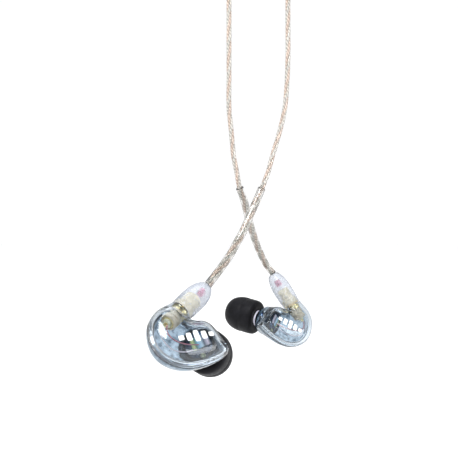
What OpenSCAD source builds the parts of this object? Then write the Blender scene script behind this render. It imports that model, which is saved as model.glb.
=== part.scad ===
// In ear monitors: two earpieces on a detachable Y cable, hung up by the coiled cable.
// Millimetres, +Z up. The origin is the point where a peg carries the coil.

/* [Earpiece] */
// Depth of the outer half shell, from the seam to the face
outer_depth = 4.8; // [4.2:0.1:5.6]
// Depth of the inner half shell, from the seam to the side at the ear
inner_depth = 5.6; // [5.0:0.1:6.2]
// Wall of the shells
shell_wall = 0.9; // [0.7:0.1:1.1]
// Seam plane, inward from the middle of the socket
seam_y = 0.8; // [0.4:0.1:1.2]
// Outer diameter of the nozzle tube
nozzle_d = 4.4; // [4.2:0.1:4.6]
// Length of the nozzle from the middle of the driver
nozzle_end = 13.4; // [12.8:0.1:14]

/* [Driver] */
// Diameter of the driver can
driver_d = 7.4; // [6.8:0.1:7.6]
// Length of the driver can
driver_len = 4.2; // [3.8:0.1:4.4]

/* [Tip] */
// Largest diameter of the foam tip
tip_d = 13; // [11:0.5:14]
// Length of the foam tip
tip_len = 12.6; // [11.5:0.1:13]

/* [Connector] */
// Length of the boot on the cable
boot_len = 14; // [13:0.5:15]
// Diameter of the boot at the earpiece
boot_d = 6.4; // [6:0.1:6.8]
// Outer diameter of the plug barrel
barrel_d = 3.1; // [3:0.1:3.2]
// Running clearance between turning parts, on the radius
fit = 0.05; // [0.03:0.01:0.08]

/* [Cable] */
// Diameter of each leg of the cable
leg_d = 1.6; // [1.4:0.1:1.8]
// Diameter of the ear hook sleeve
sleeve_d = 2.5; // [2.4:0.1:2.8]
// Diameter of the main cable
main_d = 2.2; // [2:0.1:2.4]
// Distance between the two legs in the splitter
leg_pitch = 2.4; // [2.2:0.1:2.8]

/* [Plug] */
// Diameter of the plug
jack_plug_d = 3.5; // [3.5:0.1:3.5]
// Length of the plug
jack_plug_len = 14; // [13:0.5:15]
// Diameter of the plug housing
housing_d = 7.2; // [6.5:0.1:8]

/* [Hidden] */
$fn = 48;

// ---- where each earpiece hangs -------------------------------------------------------
// The place of each socket, and how each earpiece is turned.
right_at = [-22.7, -28.5, -197];
right_turn = [-42, 0, 33.5];
left_at = [14, 22, -203.5];
left_turn = [-28.5, 31.5, 11];

// In an earpiece's own frame, x runs along the face towards the nozzle, y goes inwards
// to the ear and z goes up. The middle of the socket's mouth is its origin.
boot_turn = [0, 57, 2];
nozzle_turn = [0, 83, 48];
nozzle_at = [4, 3, -8.5];

module place(side) {
    if (side == "right") translate(right_at) rotate(right_turn) children();
    else translate(left_at) rotate(left_turn) mirror([1, 0, 0]) children();
}
module on_boot_axis(t = 0) rotate(boot_turn) translate([0, 0, t]) children();
module on_nozzle_axis(t = 0) translate(nozzle_at) rotate(nozzle_turn) translate([0, 0, t]) children();
module tube(r_out, r_in, h) {
    difference() {
        cylinder(r = r_out, h = h);
        translate([0, 0, -1]) cylinder(r = r_in, h = h + 2);
    }
}

// Outer radius of the socket, which both half shells grip.
socket_r = 2.4;

// ---- shells --------------------------------------------------------------------------
// Corners of the face outline, as x and z, rounded off by a closed spline.
face_points = [
    [-0.5, 1.6], [5.2, -2.6], [9, -6], [10.6, -9.4], [9.4, -13.2],
    [4, -15.6], [-2.4, -15.6], [-7.2, -13], [-9.6, -8.8], [-9.6, -4.4], [-7.6, -0.6], [-4, 1.6]
];
face_middle = [0.4, -8];
steps_per_corner = 2;

function spline_point(a, b, c, d, t) =
    0.5 * (2 * b + (c - a) * t + (2 * a - 5 * b + 4 * c - d) * t * t + (3 * b - a - 3 * c + d) * t * t * t);
function closed_spline(p, n) = [
    for (i = [0 : len(p) - 1]) for (k = [0 : n - 1])
        spline_point(p[(i + len(p) - 1) % len(p)], p[i], p[(i + 1) % len(p)], p[(i + 2) % len(p)], k / n)
];
outline = closed_spline(face_points, steps_per_corner);

// A dome on the outline, in layers: it starts at the seam and rounds over to a nearly flat
// face. Its height at each angle is depth * rise(angle).
layer_angles = [0, 17, 34, 51, 68];
layer_t = 0.01;
function rise(angle) = pow(sin(angle), 0.8);
module slice(inset, angle, y) {
    scale = pow(cos(angle), 0.55);
    translate([0, y, 0]) rotate([90, 0, 0]) linear_extrude(layer_t, center = true)
        polygon([
            for (p = outline)
                let (out = p - face_middle, reach = norm(out) - inset)
                face_middle + out / norm(out) * reach * scale
        ]);
}
module dome(inset, depth) {
    for (i = [1 : len(layer_angles) - 1]) hull() {
        slice(inset, layer_angles[i - 1], depth * rise(layer_angles[i - 1]));
        slice(inset, layer_angles[i], depth * rise(layer_angles[i]));
    }
}
// The room inside a dome, open through the seam.
module dome_room(depth) {
    inner = depth - sign(depth) * shell_wall;
    dome(shell_wall, inner);
    hull() {
        slice(shell_wall, 0, 0);
        slice(shell_wall, 0, -sign(depth));
    }
}

// The nozzle is a separate moulding: a horn in front of the driver, then the tube.
horn_r = 4.4;
horn_start = 1.6;
module nozzle() {
    color([0.86, 0.9, 0.93, 0.4]) on_nozzle_axis() rotate_extrude()
        polygon([
            [driver_d / 2 + 0.3, horn_start], [horn_r, horn_start], [horn_r, 4], [3.8, 5],
            [2.9, 5.6], [2.9, 6], [nozzle_d / 2, 6], [nozzle_d / 2, nozzle_end], [1.5, nozzle_end],
            [1.5, 5], [driver_d / 2 + 0.3, can_front + 0.8]
        ]);
}
// What each shell half makes way for: the boot with its clearance, and the socket.
module boot_room() {
    on_boot_axis(-8) cylinder(r = socket_r + fit, h = 9);
    on_boot_axis() cylinder(r = boot_d / 2 + 0.3, h = 16);
}
// The same for the driver and the nozzle in front of it.
module driver_room() {
    on_nozzle_axis(can_back - 0.1) cylinder(r = driver_d / 2 + 0.1, h = driver_len + 1);
    on_nozzle_axis(horn_start - 0.01) cylinder(r = horn_r + 0.01, h = 12);
}
// The two halves meet at the seam, each with the thickness of its first layer outside it.
module half_shell(depth) {
    color([0.86, 0.9, 0.93, 0.4]) difference() {
        translate([0, seam_y + sign(depth) * layer_t / 2, 0]) {
            difference() {
                dome(0, depth);
                dome_room(depth);
            }
        }
        boot_room();
        driver_room();
    }
}
module outer_shell() half_shell(-outer_depth);
module inner_shell() half_shell(inner_depth);

// Generic level bars printed on the face.
bar_heights = [1.2, 2.1, 3, 2.1, 1.2];
bar_w = 1.4;
bar_pitch = 2.1;
bar_middle = [0.3, -9.2];
bar_depth = 0.15;
module face_mark() {
    face_y = seam_y - outer_depth * rise(layer_angles[len(layer_angles) - 1]) - 1.5 * layer_t;
    color("white") for (i = [0 : len(bar_heights) - 1])
        translate([bar_middle[0] + bar_pitch * (i - 2), face_y - bar_depth / 2, bar_middle[1]])
            cube([bar_w, bar_depth, bar_heights[i]], center = true);
}

// ---- driver --------------------------------------------------------------------------
can_back = -0.9;
can_front = can_back + driver_len;
module driver_can() {
    color([0.25, 0.3, 0.36]) on_nozzle_axis(can_back) difference() {
        cylinder(r = driver_d / 2, h = driver_len);
        translate([0, 0, 0.3]) cylinder(r = driver_d / 2 - 0.35, h = driver_len);
        translate([0, 0, -1]) cylinder(r = 0.6, h = 3);
    }
}
module driver_magnet() {
    color([0.5, 0.5, 0.52]) on_nozzle_axis(can_back + 0.3) tube(2.2, 0.6, 1.9);
}
module voice_coil() {
    color([0.75, 0.42, 0.2]) on_nozzle_axis(can_back + 1.4) tube(2.65, 2.4, 1.9);
}
module diaphragm() {
    color([0.75, 0.78, 0.82, 0.6]) on_nozzle_axis(can_back + 3.3) cylinder(r = driver_d / 2 - 0.35, h = 0.25);
}
module nozzle_filter() {
    color([0.6, 0.6, 0.62]) on_nozzle_axis(nozzle_end - 1.6) cylinder(r = 1.5, h = 0.6);
}

// ---- socket in the earpiece ----------------------------------------------------------
barrel_r = barrel_d / 2;
module socket_shell() {
    color("gold") on_boot_axis(-5) difference() {
        cylinder(r = socket_r, h = 5);
        translate([0, 0, 1.4]) cylinder(r = barrel_r + fit, h = 5);
        translate([0, 0, -1]) cylinder(r = 1.2, h = 4);
    }
}
module socket_insulator() {
    color("ivory") on_boot_axis(-5.6) difference() {
        cylinder(r = 1.2, h = 2);
        translate([0, 0, -1]) cylinder(r = 0.55, h = 4);
    }
}
module socket_contact() {
    color("gold") on_boot_axis(-6.6) difference() {
        cylinder(r = 0.55, h = 4.6);
        translate([0, 0, 2.4]) cylinder(r = 0.25 + fit, h = 4);
    }
}
// Two thin wires from the socket to the back of the driver, along these points.
wire_routes = [
    [[-5.3, -1.5, -4.2], [-5.8, -1.6, -6.4], [-4.4, -1.4, -8.4], [-1.2, -0.2, -9.2], [3.2, 1.7, -9]],
    [[-6.4, -0.4, -3.2], [-7, -0.4, -6.6], [-5.2, 0, -9.8], [-1.6, 1, -10.6], [2.6, 2.4, -9.8]]
];
module lead_wires() {
    color("firebrick") for (w = wire_routes) sweep(w, 0.2, 0, 6);
}

// ---- foam tip ------------------------------------------------------------------------
tip_back = 6.3;
tip_core_r = 2.8;
module tip_core() {
    color([0.8, 0.78, 0.9]) on_nozzle_axis(tip_back) tube(tip_core_r, nozzle_d / 2 + fit, 8.4);
}
module foam_tip() {
    r = tip_d / 2;
    color([0.12, 0.12, 0.12]) on_nozzle_axis(tip_back + 0.3) rotate_extrude()
        polygon([
            [tip_core_r, 0], [r - 1.1, 0], [r - 0.5, 0.4], [r - 0.2, 1.4], [r, 3],
            [r, 5], [r - 0.15, 6.5],
            for (a = [20 : 20 : 80]) [(r - 2.9) * cos(a) + 2.65, 6.6 + (tip_len - 6.6) * sin(a)],
            [2.4, tip_len - 0.4], [2.2, 8.1], [tip_core_r, 8.1]
        ]);
}

// ---- boot and plug on the cable ------------------------------------------------------
// Space between the socket's mouth and the boot.
gap = 0.3;
// Radii of the groove for the snap ring, of the plug's flange and of the crimped cover.
groove_r = barrel_r - 0.25;
flange_r = 2;
crimp_r = 1.5;
// The two spliced wires, side by side.
module splice_wires() {
    for (s = [-1, 1]) translate([0, s * 0.55, 8.6]) cylinder(r = 0.45, h = 2.2);
}
module snap_ring() {
    color("silver") on_boot_axis(-1.9) tube(barrel_r - 0.02, groove_r + 0.02, 0.5);
}
module plug_barrel() {
    color("gold") on_boot_axis(0) difference() {
        union() {
            translate([0, 0, -3.2]) cylinder(r = barrel_r, h = 3.8);
            translate([0, 0, gap]) cylinder(r = flange_r, h = 2.9);
        }
        translate([0, 0, -4]) cylinder(r = 1, h = 8);
        translate([0, 0, -1.95]) tube(barrel_r + 1, groove_r, 0.6);
    }
}
module plug_insulator() {
    color("ivory") on_boot_axis(-1.4) tube(1, 0.5, 4.6);
}
module plug_pin() {
    color("gold") on_boot_axis(-3.2) union() {
        cylinder(r = 0.25, h = 2);
        translate([0, 0, 1.8]) cylinder(r = 0.5, h = 5.4);
    }
}
module crimp_sleeve() {
    color("ivory") on_boot_axis(3.2) tube(crimp_r, 0.5, 4);
}
module wire_splice() {
    color([0.85, 0.35, 0.45]) on_boot_axis() splice_wires();
}
module boot() {
    r = boot_d / 2;
    color([0.85, 0.88, 0.9, 0.5]) on_boot_axis() difference() {
        rotate_extrude() polygon([
            [0, gap], [r - 0.2, gap], [r, gap + 0.3], [r, 5.5], [r - 0.1, 7.5], [r - 0.4, 9.5],
            [r - 0.8, 11.4], [r - 1.2, 12.8], [sleeve_d / 2 + 0.2, boot_len], [0, boot_len]
        ]);
        translate([0, 0, -1]) cylinder(r = flange_r, h = 4.2);
        translate([0, 0, 3.2]) cylinder(r = crimp_r, h = 4);
        splice_wires();
    }
}

// ---- cable ---------------------------------------------------------------------------
coil_r = 9.5;
coil_z = leg_d / 2 - coil_r;
main_coil_r = coil_r - leg_d / 2 + main_d / 2;
main_layers = 4;
main_exit_r = main_coil_r + (main_layers - 1) * main_d;
leg_side = leg_pitch / 2;
// Along the peg: where each leg comes to its coil, the middles of the legs' coils on
// either side of the origin, where the main cable meets its coil, and where that starts.
leg_coil_y = 1;
leg_coil_middle = 3;
main_y = 8.1;
main_coil_start = 7;
main_coil_width = 9.2;

right_route = [
    [-16, -17.5, -191.5], [-13.5, -15, -188.5], [-11.5, -12.5, -186], [-9, -10, -182.5],
    [-7, -7.5, -179], [-5, -5.5, -175.5], [-3, -3.5, -171], [-0.5, -1.5, -165.5],
    [1, -0.5, -162], [3, 0, -157], [4.5, 0, -151.5], [6, 0, -146.5], [7.5, 0, -141],
    [8.5, 0, -136], [9, 0, -131], [9.5, 0, -120], [9.5, 0, -105], [9.5, -0.5, -80],
    [9.5, -leg_coil_y, -50], [9.5, -leg_coil_y, -25], [9.5, -leg_coil_y, coil_z]
];
left_route = [
    [7, 24.5, -191.5], [4.5, 23.5, -188.5], [2, 20, -184], [0, 16, -179.5], [-1.5, 12, -175.5],
    [-3, 8, -171], [-4.5, 4.5, -165.5], [-6, 2.5, -161.5], [-7, 1, -156.5],
    [-8, 0.5, -151.5], [-8.5, 0, -146.5], [-9, 0, -141], [-9.5, 0, -136], [-9.5, 0, -125],
    [-9.5, 0, -105], [-9.5, 0.5, -80], [-9.5, leg_coil_y, -50], [-9.5, leg_coil_y, -25],
    [-9.5, leg_coil_y, coil_z]
];
// From the left of the coil to the splitter. The other leg is its half turn about Z.
leg_return = [
    [-9.5, -5, coil_z], [-9.5, -5, -14], [-8.5, -4.5, -20], [-6, -3, -28],
    [-3, -1.5, -36], [-1.5, -0.5, -42], [-leg_side, 0, -47], [-leg_side, 0, -58], [-leg_side, 0, -69]
];
main_route = [
    [0, 0, -77], [0, 0, -81], [0, 1, -84], [0, 3, -86.5], [0, 5.5, -87.5], [0, 8, -86.5],
    [0, 10, -84], [0, 11, -81], [-0.5, 11, -74], [-3, 10.5, -60], [-6.5, 9.5, -44],
    [-9, 8.5, -30], [-main_coil_r, main_y, -20], [-main_coil_r, main_y, coil_z]
];
main_end = [[main_exit_r, main_y, coil_z], [main_exit_r, main_y, -16], [main_exit_r, main_y, -25]];

// Sweeps a ring of sides along points. Each ring turns with the one before it.
function unit(v) = v / norm(v);
function tangent(p, i) = unit(unit(p[min(i + 1, len(p) - 1)] - p[i == len(p) - 1 ? i - 1 : i])
    + unit(p[i == 0 ? 1 : i] - p[max(i - 1, 0)]));
function carry(v, t) = unit(v - (v * t) * t);
function frames(p, i, v) = i == len(p) ? [] :
    let (t = tangent(p, i), side = carry(v, t)) concat([[side, cross(t, side)]], frames(p, i + 1, side));
module sweep(p, r, r_in = 0, sides = 8) {
    f = frames(p, 0, abs(tangent(p, 0)[0]) < 0.9 ? [1, 0, 0] : [0, 1, 0]);
    n = sides;
    last = len(p) - 1;
    function ring(i, rr) = [
        for (k = [0 : n - 1]) p[i] + rr * (cos(360 * k / n) * f[i][0] + sin(360 * k / n) * f[i][1])
    ];
    outside = [for (i = [0 : last]) each ring(i, r)];
    inside = r_in > 0 ? [for (i = [0 : last]) each ring(i, r_in)] : [];
    m = len(outside);
    function wall(base, turned) = [
        for (i = [0 : last - 1]) for (k = [0 : n - 1])
            let (a = base + i * n + k, b = base + i * n + (k + 1) % n, c = a + n, d = b + n)
            each turned ? [[a, c, b], [b, c, d]] : [[a, b, c], [b, d, c]]
    ];
    function end_ring(i, turned) = [
        for (k = [0 : n - 1])
            let (a = i * n + k, b = i * n + (k + 1) % n)
            each turned ? [[a, b, m + a], [b, m + b, m + a]] : [[a, m + a, b], [b, m + a, m + b]]
    ];
    ends = r_in > 0
        ? concat(end_ring(0, false), end_ring(last, true), wall(m, true))
        : [[for (k = [0 : n - 1]) n - 1 - k], [for (k = [0 : n - 1]) last * n + k]];
    polyhedron(points = concat(outside, inside), faces = concat(wall(0, false), ends));
}
function first(p, n) = [for (i = [0 : n - 1]) p[i]];
function turned(p) = [for (q = p) [-q[0], -q[1], q[2]]];

// The ear hook sleeve covers the first points of its leg's route.
right_sleeve_points = 9;
left_sleeve_points = 8;
module ear_sleeve(route, count) {
    color([0.85, 0.84, 0.82, 0.6]) sweep(first(route, count), sleeve_d / 2, leg_d / 2 + 0.1);
}
module leg_cord(route, back) {
    color([0.85, 0.76, 0.7]) {
        sweep(route, leg_d / 2);
        sweep(back, leg_d / 2);
    }
}
module leg_coil(middle_y) {
    width = 3.5 * leg_d;
    color([0.85, 0.76, 0.7]) translate([0, middle_y + width / 2, coil_z]) rotate([90, 0, 0])
        tube(coil_r + leg_d / 2, coil_r - leg_d / 2, width);
}
module main_cord() {
    color([0.85, 0.76, 0.7]) {
        sweep(main_route, main_d / 2);
        sweep(main_end, main_d / 2);
    }
}
module main_coil() {
    color([0.85, 0.76, 0.7]) translate([0, main_coil_start + main_coil_width, coil_z]) rotate([90, 0, 0])
        tube(main_exit_r + main_d / 2, main_coil_r - main_d / 2, main_coil_width);
}

// ---- slider and splitter -------------------------------------------------------------
module leg_bores(z, h) for (s = [-1, 1]) translate([s * leg_side, 0, z]) cylinder(r = leg_d / 2 + 0.1, h = h);
module slider() {
    color([0.75, 0.75, 0.75]) difference() {
        translate([0, 0, -65]) rotate_extrude()
            polygon([[0, 0], [2.6, 0], [3.1, 0.5], [3.3, 4], [3.1, 7.5], [2.6, 8], [0, 8]]);
        leg_bores(-70, 20);
    }
}
module splitter() {
    color([0.75, 0.75, 0.75]) difference() {
        translate([0, 0, -80]) rotate_extrude()
            polygon([[0, 0], [1.7, 0], [2.2, 0.5], [3, 6], [3.1, 10], [3, 13.5], [2.5, 14], [0, 14]]);
        leg_bores(-69, 10);
        translate([0, 0, -81]) cylinder(r = main_d / 2, h = 4);
    }
}

// ---- plug ----------------------------------------------------------------------------
plug_top = -34;
housing_len = 18;
plug_face = plug_top - housing_len;
module at_plug(z) translate([main_exit_r, main_y, z]) children();
module plug_relief() {
    color([0.2, 0.2, 0.2]) at_plug(plug_top) difference() {
        rotate_extrude() polygon([[0, 0], [2.6, 0], [2.4, 3], [1.9, 8], [1.5, 12], [0, 12]]);
        translate([0, 0, 9]) cylinder(r = main_d / 2, h = 4);
    }
}
module plug_housing() {
    r = housing_d / 2;
    color([0.15, 0.15, 0.15]) at_plug(plug_face) difference() {
        rotate_extrude() polygon([
            [0, 0], [r - 0.4, 0], [r, 0.4], [r, 13], [r - 0.5, 16], [r - 0.9, housing_len], [0, housing_len]
        ]);
        translate([0, 0, -1]) cylinder(r = 1.2, h = 7);
    }
}
band = 0.7;
ring_len = 2.2;
tip_contact_len = 4.2;
sleeve_contact_len = jack_plug_len - 2 * band - ring_len - tip_contact_len;
plug_r = jack_plug_d / 2;
module plug_sleeve_contact() {
    color("gold") at_plug(plug_face - sleeve_contact_len) tube(plug_r, 1.2, sleeve_contact_len);
}
module plug_ring_contact() {
    color("gold") at_plug(plug_face - sleeve_contact_len - band - ring_len) tube(plug_r, 1.2, ring_len);
}
module plug_tip_contact() {
    color("gold") at_plug(plug_face - jack_plug_len) union() {
        rotate_extrude() polygon([[0, 0], [0.5, 0], [1, 0.4], [1.7, 1.9], [1.3, 2.9], [1.7, 4.2], [0, 4.2]]);
        cylinder(r = 0.6, h = jack_plug_len + 4);
    }
}
module plug_insulators() {
    color([0.1, 0.1, 0.1]) at_plug(plug_face - jack_plug_len + tip_contact_len) union() {
        tube(plug_r, 0.6, band);
        tube(1.2, 0.6, jack_plug_len - tip_contact_len + 3);
        translate([0, 0, band + ring_len]) tube(plug_r, 0.6, band);
    }
}

place("right") outer_shell();  // right_outer_shell
place("right") inner_shell();  // right_inner_shell
place("right") face_mark();  // right_face_mark
place("right") nozzle();  // right_nozzle
place("right") nozzle_filter();  // right_nozzle_filter
place("right") driver_can();  // right_driver_can
place("right") driver_magnet();  // right_driver_magnet
place("right") diaphragm();  // right_diaphragm
place("right") voice_coil();  // right_voice_coil
place("right") socket_shell();  // right_socket_shell
place("right") socket_insulator();  // right_socket_insulator
place("right") socket_contact();  // right_socket_contact
place("right") lead_wires();  // right_lead_wires
place("right") tip_core();  // right_tip_core
place("right") foam_tip();  // right_foam_tip
place("right") snap_ring();  // right_snap_ring
place("right") boot();  // right_boot
place("right") plug_barrel();  // right_plug_barrel
place("right") plug_insulator();  // right_plug_insulator
place("right") plug_pin();  // right_plug_pin
place("right") crimp_sleeve();  // right_crimp_sleeve
place("right") wire_splice();  // right_wire_splice
ear_sleeve(right_route, right_sleeve_points);  // right_ear_sleeve
leg_cord(right_route, leg_return);  // right_leg_cord
leg_coil(-leg_coil_middle);  // right_leg_coil
place("left") outer_shell();  // left_outer_shell
place("left") inner_shell();  // left_inner_shell
place("left") face_mark();  // left_face_mark
place("left") nozzle();  // left_nozzle
place("left") nozzle_filter();  // left_nozzle_filter
place("left") driver_can();  // left_driver_can
place("left") driver_magnet();  // left_driver_magnet
place("left") diaphragm();  // left_diaphragm
place("left") voice_coil();  // left_voice_coil
place("left") socket_shell();  // left_socket_shell
place("left") socket_insulator();  // left_socket_insulator
place("left") socket_contact();  // left_socket_contact
place("left") lead_wires();  // left_lead_wires
place("left") tip_core();  // left_tip_core
place("left") foam_tip();  // left_foam_tip
place("left") snap_ring();  // left_snap_ring
place("left") boot();  // left_boot
place("left") plug_barrel();  // left_plug_barrel
place("left") plug_insulator();  // left_plug_insulator
place("left") plug_pin();  // left_plug_pin
place("left") crimp_sleeve();  // left_crimp_sleeve
place("left") wire_splice();  // left_wire_splice
ear_sleeve(left_route, left_sleeve_points);  // left_ear_sleeve
leg_cord(left_route, turned(leg_return));  // left_leg_cord
leg_coil(leg_coil_middle);  // left_leg_coil
slider();
splitter();
main_cord();
main_coil();
plug_relief();
plug_housing();
plug_sleeve_contact();
plug_ring_contact();
plug_tip_contact();
plug_insulators();
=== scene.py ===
import math

import bpy
import numpy as np
from mathutils import Euler, Matrix, Vector


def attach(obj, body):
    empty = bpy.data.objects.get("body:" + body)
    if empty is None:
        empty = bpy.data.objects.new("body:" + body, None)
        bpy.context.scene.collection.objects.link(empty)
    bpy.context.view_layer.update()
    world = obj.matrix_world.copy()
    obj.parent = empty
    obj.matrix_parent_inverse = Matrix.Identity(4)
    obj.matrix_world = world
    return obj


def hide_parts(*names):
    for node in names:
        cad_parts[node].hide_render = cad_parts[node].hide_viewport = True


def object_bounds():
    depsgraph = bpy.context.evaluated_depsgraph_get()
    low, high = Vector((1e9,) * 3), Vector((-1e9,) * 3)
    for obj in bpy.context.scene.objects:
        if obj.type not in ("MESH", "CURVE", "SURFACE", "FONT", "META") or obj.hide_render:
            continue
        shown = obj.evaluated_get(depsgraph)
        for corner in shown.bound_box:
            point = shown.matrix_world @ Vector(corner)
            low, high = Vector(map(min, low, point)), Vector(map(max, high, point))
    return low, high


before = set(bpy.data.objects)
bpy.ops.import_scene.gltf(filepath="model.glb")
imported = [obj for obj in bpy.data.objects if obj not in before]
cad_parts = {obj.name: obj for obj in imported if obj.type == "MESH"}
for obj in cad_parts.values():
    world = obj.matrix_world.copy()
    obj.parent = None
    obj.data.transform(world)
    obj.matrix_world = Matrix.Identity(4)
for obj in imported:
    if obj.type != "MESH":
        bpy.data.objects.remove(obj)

# Two clear in-ear monitors on a detachable Y cable, hung up by the coiled cable. Lists of
# points and sizes are in millimetres, as in part.scad, and MM takes them to metres.
MM = 0.001
SIDES = ("right", "left")
cad_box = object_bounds()

# ---- camera ----------------------------------------------------------------------------
# Level with the cords above the earpieces, and looking along +Y.
camera_data = bpy.data.cameras.new("camera")
camera_data.lens = 36.55
camera_data.sensor_width = 36.0
camera_data.clip_start = 0.005
camera = bpy.data.objects.new("camera", camera_data)
camera.location = (-0.0095, -0.150, -0.175)
camera.rotation_euler = (math.radians(90), 0, 0)
bpy.context.scene.collection.objects.link(camera)
bpy.context.scene.camera = camera
bpy.context.scene.view_settings.view_transform = "Standard"


# ---- materials -------------------------------------------------------------------------
class Material:
    """A Principled material, with short ways to add procedural detail to it."""

    def __init__(self, name, color, roughness=0.5, **sockets):
        self.data = bpy.data.materials.new(name)
        self.data.use_nodes = True
        self.nodes = self.data.node_tree.nodes
        self.links = self.data.node_tree.links
        self.shader = self.nodes["Principled BSDF"]
        self.shader.inputs["Base Color"].default_value = (*color, 1)
        self.shader.inputs["Roughness"].default_value = roughness
        for socket, value in sockets.items():
            self.shader.inputs[socket.replace("_", " ")].default_value = value
        self.places = self.nodes.new("ShaderNodeTexCoord")
        self.height = None

    def noise(self, scale, detail=4.0):
        """Noise with features of about 1/scale metres."""
        noise = self.nodes.new("ShaderNodeTexNoise")
        noise.inputs["Scale"].default_value = scale
        noise.inputs["Detail"].default_value = detail
        self.links.new(self.places.outputs["Object"], noise.inputs["Vector"])
        return noise.outputs["Fac"]

    def ramp(self, value, stops):
        """A colour ramp of (place, colour) stops."""
        ramp = self.nodes.new("ShaderNodeValToRGB")
        elements = ramp.color_ramp.elements
        while len(elements) < len(stops):
            elements.new(0.5)
        for element, (place, color) in zip(elements, stops):
            element.position = place
            element.color = (*color, 1)
        self.links.new(value, ramp.inputs["Fac"])
        return ramp.outputs["Color"]

    def spread(self, value, low, high):
        """Value's middle part, from 0.3 to 0.7, spread over low to high."""
        spread = self.nodes.new("ShaderNodeMapRange")
        spread.inputs["From Min"].default_value = 0.3
        spread.inputs["From Max"].default_value = 0.7
        spread.inputs["To Min"].default_value = low
        spread.inputs["To Max"].default_value = high
        self.links.new(value, spread.inputs["Value"])
        return spread.outputs["Result"]

    def color(self, value):
        self.links.new(value, self.shader.inputs["Base Color"])
        return self

    def roughness(self, value, low, high):
        self.links.new(self.spread(value, low, high), self.shader.inputs["Roughness"])
        return self

    def bump(self, value, depth, strength=1.0):
        """Adds relief of depth metres on top of the relief so far."""
        bump = self.nodes.new("ShaderNodeBump")
        bump.inputs["Strength"].default_value = strength
        bump.inputs["Distance"].default_value = depth
        self.links.new(value, bump.inputs["Height"])
        if self.height:
            self.links.new(self.height, bump.inputs["Normal"])
        self.height = bump.outputs["Normal"]
        self.links.new(self.height, self.shader.inputs["Normal"])
        return self


def clear_plastic(name, color, edge, low, high, ior=1.49, grain=900, depth=4e-6, mottle=0.0):
    """Moulded clear plastic: color where it faces the view, shading off to edge where it turns away, which
    is painted shade in its tint, standing in for the dark rims that refraction gives. It has fine smudges
    in its gloss, from roughness low to high, and a very slight orange peel. mottle adds cloudy patches to
    its tone."""
    made = Material(name, color, low, IOR=ior, Transmission_Weight=1.0)
    # The facing value of this Layer Weight is the mask of the painted shade at the edges.
    turned = made.nodes.new("ShaderNodeLayerWeight")
    turned.inputs["Blend"].default_value = 0.35
    mottle_and_painted_edge_shade = made.nodes.new("ShaderNodeMath")
    mottle_and_painted_edge_shade.operation = "MULTIPLY_ADD"
    mottle_and_painted_edge_shade.inputs[1].default_value = mottle
    made.links.new(made.spread(made.noise(650, 5), 0, 1), mottle_and_painted_edge_shade.inputs[0])
    made.links.new(turned.outputs["Facing"], mottle_and_painted_edge_shade.inputs[2])
    start = 0.3 + 0.15 * mottle
    # Painted shade: the tint goes from color, where the plastic faces the view, to the darker edge, where
    # it turns away.
    made.color(made.ramp(mottle_and_painted_edge_shade.outputs["Value"], [(start, color), (start + 0.45, edge)]))
    made.roughness(made.noise(grain), low, high)
    return made.bump(made.noise(grain * 0.5, 2), depth, 0.35)


def rippled_shell():
    """The same plastic for the half by the ear, deeper in tone, rippled and cloudy, with a very dark
    painted shade in its tint where it turns from the view.
    """
    # The second colour is painted shade, at the edges that turn from the view.
    made = clear_plastic(
        "rippled_shell", (0.50, 0.59, 0.67), (0.05, 0.09, 0.13), low=0.0, high=0.04, mottle=0.85
    )
    return made.bump(made.noise(750, 3), 1.2e-4, 0.6)


def milky():
    """Soft clear plastic, a little clouded, that blurs what is moulded into it, with painted shade in its
    tint where it turns from the view.
    """
    # The second colour is painted shade, at the edges that turn from the view.
    made = clear_plastic(
        "clear_boot", (0.62, 0.65, 0.71), (0.22, 0.27, 0.35), low=0.2, high=0.32, ior=1.42, grain=700,
        depth=1e-5,
    )
    made.shader.inputs["Transmission Weight"].default_value = 0.86
    return made


def metal(name, color, low, high, grain=2500):
    """Metal with a faint grain in its tone, its relief and its roughness, from low to high."""
    made = Material(name, color, low, Metallic=1.0)
    tone = made.noise(grain * 0.3)
    made.color(made.ramp(tone, [(0.3, [c * 0.82 for c in color]), (0.7, color)]))
    made.roughness(made.noise(grain, 3), low, high)
    return made.bump(made.noise(grain, 3), 6e-6, 0.5)


def moulded(name, color, low, high, depth=8e-6):
    """Plain moulded plastic or rubber, with a fine grain depth metres deep."""
    grain = 3000
    made = Material(name, color, low)
    tone = made.noise(grain * 0.2)
    made.color(made.ramp(tone, [(0.3, [c * 0.9 for c in color]), (0.7, color)]))
    made.roughness(made.noise(grain), low, high)
    return made.bump(made.noise(grain), depth, 0.5)


def black_foam():
    """Slow-recovery foam: open pores under a thin soft skin."""
    made = Material("black_foam", (0.008, 0.008, 0.009), 0.6, Sheen_Weight=0.02, Specular_IOR_Level=0.08)
    cells = made.nodes.new("ShaderNodeTexVoronoi")
    cells.inputs["Scale"].default_value = 3600
    made.links.new(made.places.outputs["Object"], cells.inputs["Vector"])
    skin = made.noise(420, 3)
    made.color(made.ramp(skin, [(0.35, (0.004, 0.004, 0.005)), (0.68, (0.008, 0.008, 0.010))]))
    made.roughness(made.noise(1800), 0.42, 0.62)
    made.bump(skin, 6e-5, 0.4)
    return made.bump(cells.outputs["Distance"], 4e-5, 0.35)


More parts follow.
